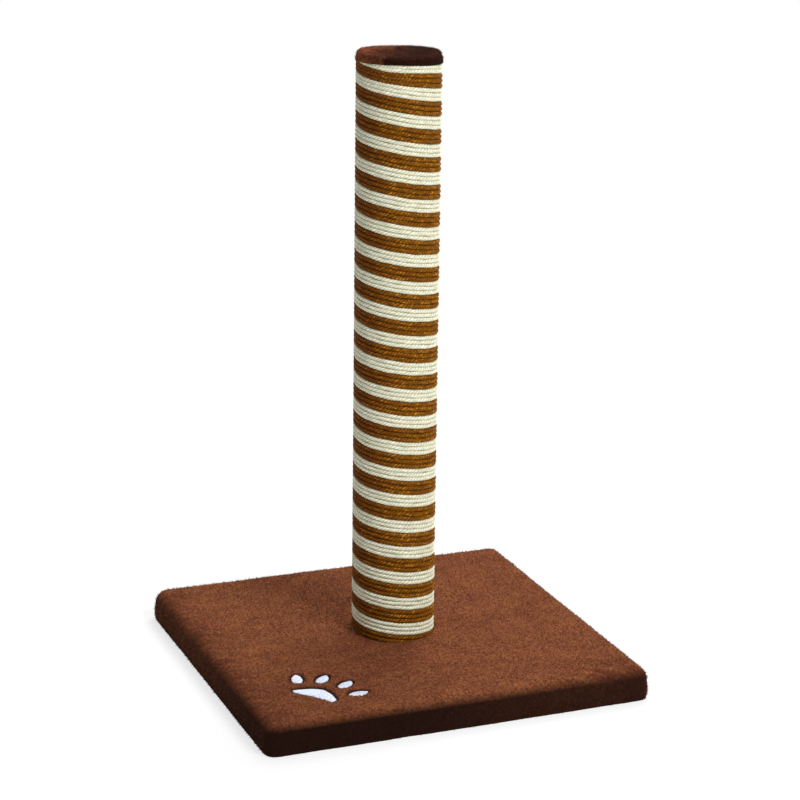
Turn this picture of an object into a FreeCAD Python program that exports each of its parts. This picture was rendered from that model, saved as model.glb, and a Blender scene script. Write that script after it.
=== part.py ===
import FreeCAD, Part
import math
import os

# A cat scratching post: a plush-wrapped board carries an upright cardboard tube that is wound
# with six thin sisal ropes, three cream and three brown side by side, and closed by a plush cap.
# Millimetres, +Z up. The origin is the centre of the base on the floor, and the front is -Y.

Vector = FreeCAD.Vector
UP = Vector(0, 0, 1)
CENTRE = Vector(0, 0, 0)
FULL_TURN = 2 * math.pi
FRONT_ANGLE = -math.pi / 2

# Base: a chipboard panel in one piece of plush, folded under and stapled.
base_width = 400.0
base_depth = 380.0
board_thickness = 25.0
board_corner_radius = 8.0
plush_thickness = 6.0
plush_top_round = 12.0
plush_bottom_bevel = 4.0
plush_round_flats = 3
lip_thickness = 3.0
lip_width = 32.0
plush_under_post = 2.0

# Post: a cardboard tube with a wooden plug in each end.
tube_outer_diameter = 72.0
tube_wall = 5.0
post_length = 587.0
bottom_plug_thickness = 20.0
top_plug_thickness = 18.0
plug_clearance = 0.15

# Bolt that pulls the post down on the base.
bolt_diameter = 8.0
bolt_length = 50.0
bolt_head_width = 13.0
bolt_head_height = 5.3
bolt_hole_clearance = 0.5
counterbore_depth = 8.0
counterbore_clearance = 3.0
washer_diameter = 24.0
washer_thickness = 2.0
tee_nut_flange_diameter = 22.0
tee_nut_flange_thickness = 1.5
tee_nut_barrel_diameter = 10.5
tee_nut_barrel_length = 10.0
tee_nut_clearance = 0.05
prong_count = 4
prong_length = 6.0
prong_width = 2.6
prong_thickness = 1.2
prong_rim_gap = 0.8

# Staples, all bent from the same flat wire.
staple_wire_width = 1.2
staple_wire_thickness = 0.7
cover_staple_crown = 12.0
cover_staple_leg = 12.0
cover_staple_sink = 0.8
cover_staples_per_side = 4
plug_staple_crown = 10.0
plug_staple_leg = 14.0
plug_staple_count = 4
cap_staple_leg = 16.0
cap_staple_spacing = 24.0
cap_staple_count = 2

# Ropes: six side by side, so that one turn of the group climbs by all of their widths.
ropes_per_colour = 3
cream_rope_width = 4.3
brown_rope_width = 4.6
rope_thickness = 4.3
rope_shoulder = 0.9
rope_gap = 0.1
rope_bed_clearance = 0.1
cream_edge_rise = 8.7
flats_per_turn = 10
seat_clearance = 0.4

# Cap: a thin wooden disc wrapped in plush, stapled on the top plug.
cap_disc_overhang = 3.0
cap_disc_thickness = 4.0
cap_plush_thickness = 2.5
cap_top_round = 4.0
cap_round_flats = 2
cap_lip_thickness = 1.0
cap_lip_width = 14.0

# Paw print stitched on the plush in the front left corner, its toes towards the post.
paw_from_left = 69.0
paw_from_front = 54.5
paw_turn = 40.5
paw_thread_height = 0.8
toe_length = 21.0
toe_width = 11.5
outer_toe_reach = 20.5
outer_toe_side = 34.0
outer_toe_turn = 37.0
inner_toe_reach = 32.3
inner_toe_side = 12.7
inner_toe_turn = 6.0
toe_sides = 12
heel_width = 52.0
heel_front = 12.0
heel_back = 9.0
heel_waist = 0.55
heel_droop = 7.0
heel_sides = 24

# Heights and radii that follow from the sizes above.
board_bottom = lip_thickness
board_top = board_bottom + board_thickness
plush_top = board_top + plush_thickness
seat_height = board_top + plush_under_post
post_top = seat_height + post_length
bottom_plug_top = seat_height + bottom_plug_thickness
top_plug_bottom = post_top - top_plug_thickness
tube_outer_radius = tube_outer_diameter / 2
tube_inner_radius = tube_outer_radius - tube_wall
plug_radius = tube_inner_radius - plug_clearance
board_width = base_width - 2 * plush_thickness
board_depth = base_depth - 2 * plush_thickness
bolt_hole_radius = bolt_diameter / 2 + bolt_hole_clearance
bolt_seat = board_bottom + counterbore_depth
rope_lead = ropes_per_colour * (cream_rope_width + brown_rope_width + 2 * rope_gap)
rope_bed_radius = (tube_outer_radius + rope_bed_clearance) / math.cos(math.pi / flats_per_turn)
rope_outer_radius = rope_bed_radius + rope_thickness
cap_disc_bottom = post_top + cap_lip_thickness
cap_disc_top = cap_disc_bottom + cap_disc_thickness
cap_disc_radius = tube_outer_radius + cap_disc_overhang


def cylinder(radius, bottom, top):
    """An upright cylinder on the post's axis, between two heights."""
    return Part.makeCylinder(radius, top - bottom, UP * bottom, UP)


def flat(corners):
    """A plane face given by its corners."""
    return Part.Face(Part.makePolygon(corners + corners[:1]))


def prism(corners, push):
    """A flat outline pushed along a vector."""
    return flat(corners).extrude(push)


def revolved(outline):
    """A closed outline of radius and height pairs, turned about the post's axis."""
    return flat([Vector(radius, 0, height) for radius, height in outline]).revolve(CENTRE, UP, 360)


def turned(shape, angle):
    """A copy turned about the post's axis by an angle in radians."""
    return shape.rotated(CENTRE, UP, math.degrees(angle))


def quarter_round(radius, flats):
    """Inset and drop, from the wall up to the top, of a quarter round cut into flats."""
    turns = [math.pi / 2 * step / flats for step in range(flats + 1)]
    return [(radius * (1 - math.cos(turn)), radius * (1 - math.sin(turn))) for turn in turns]


def rounded_outline(width, depth, corner, height):
    """A level rectangle with round corners, as one wire of lines and quarter arcs."""
    corner_cut = corner * (1 - math.sqrt(0.5))
    edges = []
    for turn in range(4):
        x, y = (width / 2, depth / 2) if turn % 2 == 0 else (depth / 2, width / 2)
        spin = FreeCAD.Rotation(UP, 90 * turn)
        start, bend, middle, end = (spin.multVec(Vector(px, py, height)) for px, py in (
            (x, corner - y), (x, y - corner), (x - corner_cut, y - corner_cut), (x - corner, y)))
        edges.append(Part.LineSegment(start, bend).toShape())
        edges.append(Part.Arc(bend, middle, end).toShape())
    return Part.Wire(edges)


def staple(crown, leg):
    """A staple with its crown along X on the plane Z = 0 and its legs pointing up."""
    half = crown / 2
    inner = half - staple_wire_thickness
    outline = [(-half, 0), (half, 0), (half, leg), (inner, leg), (inner, staple_wire_thickness),
               (-inner, staple_wire_thickness), (-inner, leg), (-half, leg)]
    return prism([Vector(x, -staple_wire_width / 2, z) for x, z in outline],
                 Vector(0, staple_wire_width, 0))


# Base

def board_block():
    outline = rounded_outline(board_width, board_depth, board_corner_radius, board_bottom)
    return Part.Face(outline).extrude(UP * board_thickness)


def base_board():
    bolt_hole = cylinder(bolt_hole_radius, board_bottom, board_top)
    counterbore = cylinder(washer_diameter / 2 + counterbore_clearance, board_bottom, bolt_seat)
    return board_block().cut([bolt_hole, counterbore])


def plush_skin():
    """The outside of the wrapped base, rounded in at the top and bevelled at the floor."""
    levels = [(plush_bottom_bevel, 0), (0, plush_bottom_bevel)]
    levels += [(inset, plush_top - drop)
               for inset, drop in quarter_round(plush_top_round, plush_round_flats)]
    corner = board_corner_radius + plush_thickness
    return Part.makeLoft([rounded_outline(base_width - 2 * inset, base_depth - 2 * inset,
                                          corner - inset, height)
                          for inset, height in levels], True, True)


def base_plush_cover():
    """Plush over the board's top and walls, with a lip folded under its edges."""
    lip_edge = rounded_outline(board_width - 2 * lip_width, board_depth - 2 * lip_width,
                               board_corner_radius, 0)
    opening = Part.Face(lip_edge).extrude(UP * lip_thickness)
    seat = cylinder(rope_outer_radius + seat_clearance, seat_height, plush_top)
    bolt_hole = cylinder(bolt_hole_radius, board_top, seat_height)
    return plush_skin().cut([board_block(), opening, seat, bolt_hole])


def cover_staples():
    """A row of staples through the lip along each side of the board."""
    wire = staple(cover_staple_crown, cover_staple_leg)
    wire.translate(UP * cover_staple_sink)
    sides = []
    for turn in range(4):
        run, reach = (board_width, board_depth) if turn % 2 == 0 else (board_depth, board_width)
        pitch = (run - lip_width) / cover_staples_per_side
        for index in range(cover_staples_per_side):
            along = (index + 0.5 - cover_staples_per_side / 2) * pitch
            copy = wire.copy()
            copy.translate(Vector(along, (lip_width - reach) / 2, 0))
            sides.append(turned(copy, FULL_TURN * turn / 4))
    return Part.makeCompound(sides)


# Bolt, washer and tee nut

def post_bolt():
    """A hexagon-head bolt up through the board, its head hidden in the counterbore."""
    head_top = bolt_seat - washer_thickness
    corner_radius = bolt_head_width / math.sqrt(3)
    corners = [Vector(corner_radius * math.cos(FULL_TURN * side / 6),
                      corner_radius * math.sin(FULL_TURN * side / 6),
                      head_top - bolt_head_height) for side in range(6)]
    head = prism(corners, UP * bolt_head_height)
    shank = cylinder(bolt_diameter / 2, head_top, head_top + bolt_length)
    return head.fuse(shank)


def bolt_washer():
    bottom = bolt_seat - washer_thickness
    return cylinder(washer_diameter / 2, bottom, bolt_seat).cut(
        cylinder(bolt_hole_radius, bottom, bolt_seat))


def tee_nut():
    """A flanged barrel let into the bottom plug from above, held by pointed prongs."""
    flange_top = bottom_plug_top + tee_nut_flange_thickness
    barrel_bottom = bottom_plug_top - tee_nut_barrel_length
    flange = cylinder(tee_nut_flange_diameter / 2, bottom_plug_top, flange_top)
    barrel = cylinder(tee_nut_barrel_diameter / 2, barrel_bottom, bottom_plug_top)
    rim = tee_nut_flange_diameter / 2 - prong_rim_gap
    prong = prism([Vector(rim, -prong_width / 2, bottom_plug_top),
                   Vector(rim, prong_width / 2, bottom_plug_top),
                   Vector(rim, 0, bottom_plug_top - prong_length)],
                  Vector(-prong_thickness, 0, 0))
    prongs = [turned(prong, FULL_TURN * index / prong_count) for index in range(prong_count)]
    thread = cylinder(bolt_diameter / 2 + tee_nut_clearance, barrel_bottom, flange_top)
    return flange.fuse([barrel] + prongs).cut(thread)


# Post

def post_tube():
    return cylinder(tube_outer_radius, seat_height, post_top).cut(
        cylinder(tube_inner_radius, seat_height, post_top))


def bottom_plug():
    """A plug drilled right through at the size of the tee nut's barrel."""
    barrel_hole_radius = tee_nut_barrel_diameter / 2 + tee_nut_clearance
    return cylinder(plug_radius, seat_height, bottom_plug_top).cut(
        cylinder(barrel_hole_radius, seat_height, bottom_plug_top))


def top_plug():
    return cylinder(plug_radius, top_plug_bottom, post_top)


def plug_staples(plug_middle):
    """Staples through the tube's wall into a plug, their upright crowns flush outside."""
    wire = staple(plug_staple_crown, plug_staple_leg).rotated(CENTRE, Vector(0, 1, 0), -90)
    wire.translate(Vector(tube_outer_radius, 0, plug_middle))
    return Part.makeCompound([turned(wire, FULL_TURN * (index + 0.5) / plug_staple_count)
                              for index in range(plug_staple_count)])


# Cap

def cap_disc():
    return cylinder(cap_disc_radius, cap_disc_bottom, cap_disc_top)


def cap_plush_cover():
    """Plush over the disc with a soft rim, its margin folded under the disc."""
    radius = cap_disc_radius + cap_plush_thickness
    top = cap_disc_top + cap_plush_thickness
    outline = [(0, post_top), (radius, post_top)]
    outline += [(radius - inset, top - drop) for inset, drop in quarter_round(cap_top_round, cap_round_flats)]
    outline.append((0, top))
    opening = cylinder(cap_disc_radius - cap_lip_width, post_top, cap_disc_bottom)
    return revolved(outline).cut([cap_disc(), opening])


def cap_staples():
    """Staples down through the disc into the top plug, their crowns sunk in the pile."""
    wire = staple(plug_staple_crown, cap_staple_leg).rotated(CENTRE, Vector(1, 0, 0), 180)
    wire.translate(UP * (cap_disc_top + staple_wire_thickness))
    row = []
    for index in range(cap_staple_count):
        copy = wire.copy()
        copy.translate(Vector(0, (index + 0.5 - cap_staple_count / 2) * cap_staple_spacing, 0))
        row.append(copy)
    return Part.makeCompound(row)


# Ropes

def rope_stations(centre_height, width):
    """Angle and height at each corner of a rope's path, from below the seat to above the top.

    The winding is left-handed: it climbs as the angle falls.
    """
    steps_per_height = flats_per_turn / rope_lead
    first = math.floor((seat_height - width - centre_height) * steps_per_height)
    last = math.ceil((post_top + width - centre_height) * steps_per_height)
    return [(FRONT_ANGLE - FULL_TURN * step / flats_per_turn,
             centre_height + step / steps_per_height) for step in range(first, last + 1)]


def rope_section(angle, height, width):
    """Corners across a rope: its full width on the tube and a narrower crest outside."""
    crest = width - 2 * rope_shoulder
    corners = [(rope_bed_radius, -width / 2), (rope_outer_radius, -crest / 2),
               (rope_outer_radius, crest / 2), (rope_bed_radius, width / 2)]
    return [Vector(radius * math.cos(angle), radius * math.sin(angle), height + rise)
            for radius, rise in corners]


def flats_between(lower, upper):
    """Sides of a rope between two sections: crest and bed whole, each shoulder folded."""
    flats = []
    for side in range(len(lower)):
        after = (side + 1) % len(lower)
        strip = [lower[side], lower[after], upper[after], upper[side]]
        is_shoulder = side % 2 == 0
        flats += [flat(strip[:3]), flat([strip[0]] + strip[2:])] if is_shoulder else [flat(strip)]
    return flats


def least_gap_to_itself(stations, width):
    """Clear distance from a rope to its own next turn, taken at the corners of its path."""
    middle = rope_bed_radius + rope_thickness / 2
    points = [Vector(middle * math.cos(angle), middle * math.sin(angle), height)
              for angle, height in stations]
    nearest = min(points[index].distanceToPoint(points[index + flats_per_turn + shift])
                  for index in range(len(points) - flats_per_turn - 1) for shift in (-1, 0, 1))
    return nearest - max(width, rope_thickness)


def rope(name, centre_height, width):
    """One rope wound from the seat in the plush up to the cap, trimmed level at both ends."""
    stations = rope_stations(centre_height, width)
    print(f"{name}: {post_length / rope_lead:.1f} turns, "
          f"least gap to itself {least_gap_to_itself(stations, width):.1f} mm")
    sections = [rope_section(angle, height, width) for angle, height in stations]
    flats = [flat(sections[0]), flat(sections[-1])]
    for lower, upper in zip(sections, sections[1:]):
        flats += flats_between(lower, upper)
    skin = Part.Shell(flats)
    skin.sewShape()
    reach = 2 * rope_outer_radius
    between = Part.makeBox(2 * reach, 2 * reach, post_length, Vector(-reach, -reach, seat_height))
    return Part.Solid(skin).common(between)


def ropes():
    """Cream ropes above the line where the colours meet, brown ropes below it."""
    meeting = seat_height + cream_edge_rise
    wound = {}
    for colour, side, width in (("cream", 1, cream_rope_width), ("brown", -1, brown_rope_width)):
        for index in range(ropes_per_colour):
            name = f"{colour}_rope_{index + 1}"
            wound[name] = rope(name, meeting + side * (index + 0.5) * (width + rope_gap), width)
    return wound


# Paw print

def stitched(outline):
    """A flat pad of thread on the plush, from an outline in the paw's own frame."""
    pad = prism([Vector(x, y, plush_top) for x, y in outline], UP * paw_thread_height)
    pad.rotate(CENTRE, UP, paw_turn)
    pad.translate(Vector(paw_from_left - base_width / 2, paw_from_front - base_depth / 2, 0))
    return pad


def toe(reach, side, turn):
    """An oval toe fanned out from the paw's middle line by an angle in degrees."""
    cosine, sine = math.cos(math.radians(turn)), math.sin(math.radians(turn))
    outline = []
    for step in range(toe_sides):
        angle = FULL_TURN * step / toe_sides
        along, across = toe_length / 2 * math.cos(angle), toe_width / 2 * math.sin(angle)
        outline.append((reach + along * cosine - across * sine,
                        side + along * sine + across * cosine))
    return stitched(outline)


def paw_toe_stitching():
    toes = []
    for reach, side, turn in ((outer_toe_reach, outer_toe_side, outer_toe_turn),
                              (inner_toe_reach, inner_toe_side, inner_toe_turn)):
        toes += [toe(reach, side, turn), toe(reach, -side, -turn)]
    return Part.makeCompound(toes)


def paw_heel_stitching():
    """A bent bean: round in front, hollowed behind, with its ends drooping back."""
    outline = []
    for step in range(heel_sides):
        angle = FULL_TURN * step / heel_sides
        across = math.cos(angle)
        along = math.sin(angle)
        depth = heel_front if along > 0 else heel_back * (1 - heel_waist * along ** 2)
        outline.append((depth * along - heel_droop * across ** 2, heel_width / 2 * across))
    return stitched(outline)


def all_parts():
    return {
        "base_board": base_board(),
        "base_plush_cover": base_plush_cover(),
        "cover_staples": cover_staples(),
        "post_bolt": post_bolt(),
        "bolt_washer": bolt_washer(),
        "tee_nut": tee_nut(),
        "post_tube": post_tube(),
        "bottom_plug": bottom_plug(),
        "bottom_plug_staples": plug_staples(seat_height + bottom_plug_thickness / 2),
        "top_plug": top_plug(),
        "top_plug_staples": plug_staples(post_top - top_plug_thickness / 2),
        "cap_disc": cap_disc(),
        "cap_plush_cover": cap_plush_cover(),
        "cap_staples": cap_staples(),
        "paw_toe_stitching": paw_toe_stitching(),
        "paw_heel_stitching": paw_heel_stitching(),
        **ropes(),
    }


os.makedirs("parts", exist_ok=True)
for node, shape in all_parts().items():
    shape.exportStep(f"parts/{node}.step")
    print(f"{node}: {len(shape.Solids)} solid(s), {shape.Volume / 1000:.2f} cm3")
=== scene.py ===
# %% [markdown]
# # A cat scratching post
#
# A chipboard base wrapped in brown plush carries a cardboard tube. Six sisal ropes, three
# cream and three brown, are wound side by side round the tube, and a small plush cap closes
# it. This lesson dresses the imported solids. Soft pieces are rebuilt with real pile, twist
# and thread, and hard pieces keep their solids and get a finish. It starts by loading the
# solids as a frame that nothing here moves.

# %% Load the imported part
import math
import bmesh
import bpy
import numpy as np
from mathutils import Matrix, Vector


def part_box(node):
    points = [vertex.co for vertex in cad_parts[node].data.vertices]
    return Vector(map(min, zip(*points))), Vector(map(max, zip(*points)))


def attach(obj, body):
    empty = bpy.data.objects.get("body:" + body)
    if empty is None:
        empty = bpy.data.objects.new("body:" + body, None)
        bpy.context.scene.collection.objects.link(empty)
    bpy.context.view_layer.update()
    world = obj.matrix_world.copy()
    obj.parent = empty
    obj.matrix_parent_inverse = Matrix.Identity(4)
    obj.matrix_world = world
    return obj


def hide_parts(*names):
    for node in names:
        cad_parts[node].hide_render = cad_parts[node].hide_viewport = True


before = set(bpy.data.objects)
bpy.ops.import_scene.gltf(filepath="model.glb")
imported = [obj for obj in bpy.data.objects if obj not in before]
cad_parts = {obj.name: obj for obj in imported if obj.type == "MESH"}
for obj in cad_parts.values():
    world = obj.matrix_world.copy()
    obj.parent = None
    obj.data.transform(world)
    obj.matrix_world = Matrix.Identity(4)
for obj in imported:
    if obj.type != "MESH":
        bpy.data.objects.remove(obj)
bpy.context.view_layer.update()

MM = 0.001
cover_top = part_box("base_plush_cover")[1].z
cover_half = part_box("base_plush_cover")[1].xy
seat_height, post_top = (corner.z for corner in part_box("post_tube"))
cap_radius, cap_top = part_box("cap_plush_cover")[1].x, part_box("cap_plush_cover")[1].z
lip_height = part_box("base_board")[0].z
board_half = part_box("base_board")[1].xy
board_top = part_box("base_board")[1].z
print(f"cover top {cover_top:.4f} m, tube {seat_height:.3f} to {post_top:.3f} m")

# %% [markdown]
# Shader maths is easier to read as an expression than as a list of nodes. `Signal` wraps a
# socket, so that `1 - mask * 0.5` adds its Math nodes. `Nodes.add` makes any other node: its
# settings first, then its sockets. Both serve shader trees and geometry trees. Three small
# functions after them say where a point is on the floor plan.

# %% Node trees written as expressions
class Signal:
    """An output socket that can be used in sums. Brackets give its node's other outputs."""

    def __init__(self, nodes, socket):
        self.nodes, self.socket = nodes, socket

    def __getitem__(self, name):
        return Signal(self.nodes, self.socket.node.outputs[name])

    def maths(self, operation, *values):
        return self.nodes.add("ShaderNodeMath", {"operation": operation}, dict(enumerate(values)))

    def __add__(self, other): return self.maths("ADD", self, other)
    def __radd__(self, other): return self.maths("ADD", other, self)
    def __sub__(self, other): return self.maths("SUBTRACT", self, other)
    def __rsub__(self, other): return self.maths("SUBTRACT", other, self)
    def __mul__(self, other): return self.maths("MULTIPLY", self, other)
    def __truediv__(self, other): return self.maths("DIVIDE", self, other)
    def __rtruediv__(self, other): return self.maths("DIVIDE", other, self)
    def __pow__(self, other): return self.maths("POWER", self, other)

    def sine(self): return self.maths("SINE", self)
    def cosine(self): return self.maths("COSINE", self)
    def root(self): return self.maths("SQRT", self)
    def unsigned(self): return self.maths("ABSOLUTE", self)
    def above(self, low): return self.maths("GREATER_THAN", self, low)
    def below(self, high): return self.maths("LESS_THAN", self, high)
    def at_least(self, low): return self.maths("MAXIMUM", self, low)
    def at_most(self, high): return self.maths("MINIMUM", self, high)
    def clamped(self): return self.at_least(0.0).at_most(1.0)

    def rising(self, start, slope):
        """0 up to a start, and from there up to 1."""
        return ((self - start) * slope).clamped()


class Nodes:
    """A node tree to which nodes are added one by one."""

    def __init__(self, tree):
        self.tree = tree

    def feed(self, socket, value):
        if isinstance(value, Signal):
            self.tree.links.new(value.socket, socket)
        else:
            socket.default_value = value

    def add(self, kind, settings=None, inputs=None, output=0):
        node = self.tree.nodes.new(kind)
        for name, value in (settings or {}).items():
            setattr(node, name, value)
        for name, value in (inputs or {}).items():
            self.feed(node.inputs[name], value)
        return Signal(self, node.outputs[output] if len(node.outputs) else None)

    def place(self):
        """Where a point is on the piece."""
        return self.add("ShaderNodeTexCoord", output="Object")

    def attribute(self, name, output="Fac"):
        return self.add("ShaderNodeAttribute", {"attribute_name": name}, output=output)

    def vector(self, operation, *values, output=0):
        return self.add("ShaderNodeVectorMath", {"operation": operation},
                        dict(enumerate(values)), output)

    def scaled(self, vector, factor):
        return self.add("ShaderNodeVectorMath", {"operation": "SCALE"},
                        {0: vector, "Scale": factor})

    def apart(self, vector):
        parts = self.add("ShaderNodeSeparateXYZ", inputs={0: vector})
        return parts, parts["Y"], parts["Z"]

    def together(self, x, y, z):
        return self.add("ShaderNodeCombineXYZ", inputs={0: x, 1: y, 2: z})

    def noise(self, vector, scale, detail=2.0, rough=0.5):
        return self.add("ShaderNodeTexNoise", inputs={
            "Vector": vector, "Scale": scale, "Detail": detail, "Roughness": rough})

    def blend(self, factor, first, second):
        """A colour between two, each another node's or three numbers as on a screen."""
        first, second = (colour if isinstance(colour, Signal) else srgb(*colour)
                         for colour in (first, second))
        return self.add("ShaderNodeMix", {"data_type": "RGBA"},
                        {0: factor, 6: first, 7: second}, output=2)

    def paint(self, colour, height, distance, strength, rough=None):
        """Gives the tree's shader a colour, the bump of a height, and a roughness."""
        bump = self.add("ShaderNodeBump", inputs={
            "Height": height, "Distance": distance, "Strength": strength})
        for name, value in (("Base Color", colour), ("Normal", bump), ("Roughness", rough)):
            if value is not None:
                self.feed(self.shader[name], value)


def from_axis(x, y):
    """How far a point is from the post's middle line."""
    return (x * x + y * y).root()


def rightward(x, y):
    """How far a point is to the right of that line, as the camera sees it."""
    return x * 0.93 - y * 0.37


def backward(x, y):
    """How far a point is behind that line, as the camera sees it."""
    return x * 0.37 + y * 0.93


def srgb(red, green, blue):
    """A colour given as a screen shows it, from 0 to 255, in the renderer's own scale."""
    linear = [(c / 255 / 12.92) if c <= 10 else ((c / 255 + 0.055) / 1.055) ** 2.4
              for c in (red, green, blue)]
    return (*linear, 1.0)


def emptied(block):
    """The node tree of a material or a world, with nothing in it yet."""
    block.use_nodes = True
    block.node_tree.nodes.clear()
    return Nodes(block.node_tree)


def finish(name, **constants):
    """A new material. What is the same all over sits on the shader's own sockets."""
    material = bpy.data.materials.new(name)
    nodes = emptied(material)
    shader = nodes.add("ShaderNodeBsdfPrincipled", inputs={
        key.replace("_", " "): value for key, value in constants.items()})
    nodes.add("ShaderNodeOutputMaterial", inputs={"Surface": shader})
    nodes.shader = shader.socket.node.inputs
    return material, nodes

# %% [markdown]
# What repeats or follows a path is grown by Geometry Nodes. A tree is made once with named
# sizes and is then run on a start mesh for each piece. In a tree, `size["Width"]` is one of
# its inputs. `grow` sets them by their sockets' identifiers and keeps the evaluated result
# as a plain mesh, so that no modifier stays behind.

# %% Growing pieces with Geometry Nodes
class Growing(Nodes):
    """A geometry tree, with short ways to write the nodes it uses most."""

    def position(self):
        return self.add("GeometryNodeInputPosition")

    def carried(self, name):
        return self.add("GeometryNodeInputNamedAttribute", inputs={"Name": name})

    def marked(self, geometry, name, value, kind="FLOAT", domain="POINT"):
        """Geometry that carries a value under a name."""
        return self.add("GeometryNodeStoreNamedAttribute", {"data_type": kind, "domain": domain},
                        {0: geometry, "Name": name, "Value": value})

    def moved(self, geometry, place, how="Position"):
        """Geometry with its points at a place, or moved by an Offset."""
        return self.add("GeometryNodeSetPosition", inputs={0: geometry, how: place})

    def row(self, count):
        return self.add("GeometryNodeMeshLine", {"mode": "OFFSET"}, {"Count": count})

    def circle(self, count, radius):
        return self.add("GeometryNodeCurvePrimitiveCircle", inputs={
            "Resolution": count, "Radius": radius})

    def sweep(self, path, outline):
        """An outline drawn along a path, with closed ends."""
        return self.add("GeometryNodeCurveToMesh", inputs={
            0: path, "Profile Curve": outline, "Fill Caps": True})

    def random(self, low, high, seed):
        return self.add("FunctionNodeRandomValue", inputs={
            2: low, 3: high, "Seed": seed}, output=1)

    def mesh_of(self, piece):
        return self.add("GeometryNodeObjectInfo", inputs={"Object": piece}, output="Geometry")

    def scattered(self, surface, density, seed):
        return self.add("GeometryNodeDistributePointsOnFaces", inputs={
            0: surface, "Density": density, "Seed": seed})

    def facing(self, direction):
        """A rotation that turns the upward axis to a direction."""
        return self.add("FunctionNodeAlignRotationToVector", {"axis": "Z"}, {"Vector": direction})


def growing_tree(name, **labels):
    """A geometry tree with inputs of each kind, and its nodes with the inputs as signals."""
    tree = bpy.data.node_groups.new(name, "GeometryNodeTree")
    inputs = [("Geometry", "Geometry"), ("Material", "Material")]
    inputs += [(label, kind) for kind, group in labels.items() for label in group]
    for label, kind in inputs:
        tree.interface.new_socket(label, in_out="INPUT", socket_type="NodeSocket" + kind)
    tree.interface.new_socket("Geometry", in_out="OUTPUT", socket_type="NodeSocketGeometry")
    nodes = Growing(tree)
    return tree, nodes, nodes.add("NodeGroupInput")


def close_tree(nodes, geometry, size):
    """Ends a tree: instances made real, shaded smooth, and given their material."""
    real = nodes.add("GeometryNodeRealizeInstances", inputs={0: geometry})
    smooth = nodes.add("GeometryNodeSetShadeSmooth", inputs={0: real})
    dressed = nodes.add("GeometryNodeSetMaterial", inputs={
        0: smooth, "Material": size["Material"]})
    nodes.add("NodeGroupOutput", inputs={0: dressed})


def new_object(name, data):
    """An object that stands in the scene."""
    made = bpy.data.objects.new(name, data)
    bpy.context.scene.collection.objects.link(made)
    return made


def grow(name, tree, sizes, start=None):
    """Runs a tree on a start mesh and keeps what grew as a new object's plain mesh."""
    piece = new_object(name, start or bpy.data.meshes.new(name))
    modifier = piece.modifiers.new(tree.name, "NODES")
    modifier.node_group = tree
    for item in tree.interface.items_tree:
        if item.in_out == "INPUT" and item.name in sizes:
            modifier[item.identifier] = sizes[item.name]
    bpy.context.view_layer.update()
    depsgraph = bpy.context.evaluated_depsgraph_get()
    grown = bpy.data.meshes.new_from_object(
        piece.evaluated_get(depsgraph), preserve_all_data_layers=True, depsgraph=depsgraph)
    piece.modifiers.clear()
    piece.data = grown
    grown.name = name
    print(f"{name}: {len(grown.vertices)} vertices, {len(grown.loops)} corners")
    return piece

# %% [markdown]
# ## Sisal ropes
#
# Each rope is a twine of three plies. A plain tube with a painted twist would look smooth
# at its edges, so the plies are modelled: a three-lobed outline is swept along the winding
# and turned as it goes. The tree stores where a point sits across the rope and along it, and
# how high the rope's middle is there, so that the fibres in the material follow the twist.

# %% Tree: one rope wound round a tube
FACE_ANGLE = math.radians(-111.8)
LEAD, LAY = 27.28 * MM, 10.2 * MM
ROPE_DEPTH = 4.9 * MM
ROPE_MIDDLE = 42.05 * MM - ROPE_DEPTH / 2
PLIES, SECTION_POINTS = 3, 12
LEAN, LEAN_START = 0.0052, 10 * MM
SETTLE, SETTLE_FROM, SETTLE_REACH = 7 * MM, post_top - 35 * MM, 40 * MM
STRAY_OUT, STRAY_UP, TWIST_STRAY = 0.45 * MM, 1.1 * MM, 3.5

rope_tree, nodes, size = growing_tree("wound rope", Int=["Points"], Float=[
    "Start Angle", "Start Height", "Turns", "Width", "Groove", "Seed"])
path = nodes.add("GeometryNodeMeshToCurve", inputs={0: nodes.row(size["Points"])})
turn = nodes.add("GeometryNodeInputIndex") / (size["Points"] - 1.0) * size["Turns"]
wander, drift = (nodes.add("ShaderNodeTexNoise", {"noise_dimensions": "2D"}, {
    "Vector": nodes.together(turn * pace, seed, 0.0), "Scale": 1.0, "Detail": 1.0})
    for pace, seed in ((11.0, size["Seed"]), (13.0, size["Seed"] + 40.0)))
angle = size["Start Angle"] - turn * (2 * math.pi)
rise = size["Start Height"] + turn * LEAD
lean = (rise - LEAN_START).at_least(0.0) * LEAN
toward_left = (FACE_ANGLE - angle).sine()
late = (rise - SETTLE_FROM).at_least(0.0) / SETTLE_REACH
settled = late ** 1.5 * SETTLE * (0.78 + toward_left).clamped()
height = rise + lean * toward_left - settled + (drift - 0.5) * STRAY_UP
reach = ROPE_MIDDLE + (wander - 0.5) * STRAY_OUT
path = nodes.moved(path, nodes.together(angle.cosine() * reach, angle.sine() * reach, height))
path = nodes.add("GeometryNodeSetCurveNormal", {"mode": "Z_UP"}, {0: path})
along = nodes.add("GeometryNodeSplineParameter", output="Length")
path = nodes.add("GeometryNodeSetCurveTilt", inputs={
    0: path, "Tilt": along / -LAY * (2 * math.pi) + (drift + wander) * TWIST_STRAY})
path = nodes.marked(nodes.marked(path, "rope_along", along), "rope_level", height)
lobe = nodes.add("GeometryNodeInputIndex") * (2 * math.pi / SECTION_POINTS)
bulge = 1.0 - size["Groove"] * (1.0 - (lobe * (PLIES / 2)).cosine().unsigned()) ** 2.0
half = size["Width"] * 0.5 * bulge
section = nodes.moved(nodes.circle(SECTION_POINTS, 1.0),
                      nodes.together(lobe.cosine() * half, lobe.sine() * half, 0.0))
section = nodes.marked(section, "rope_across", nodes.position(), "FLOAT_VECTOR")
twine = nodes.sweep(path, section)
x, y, z = nodes.apart(nodes.position())
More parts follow.
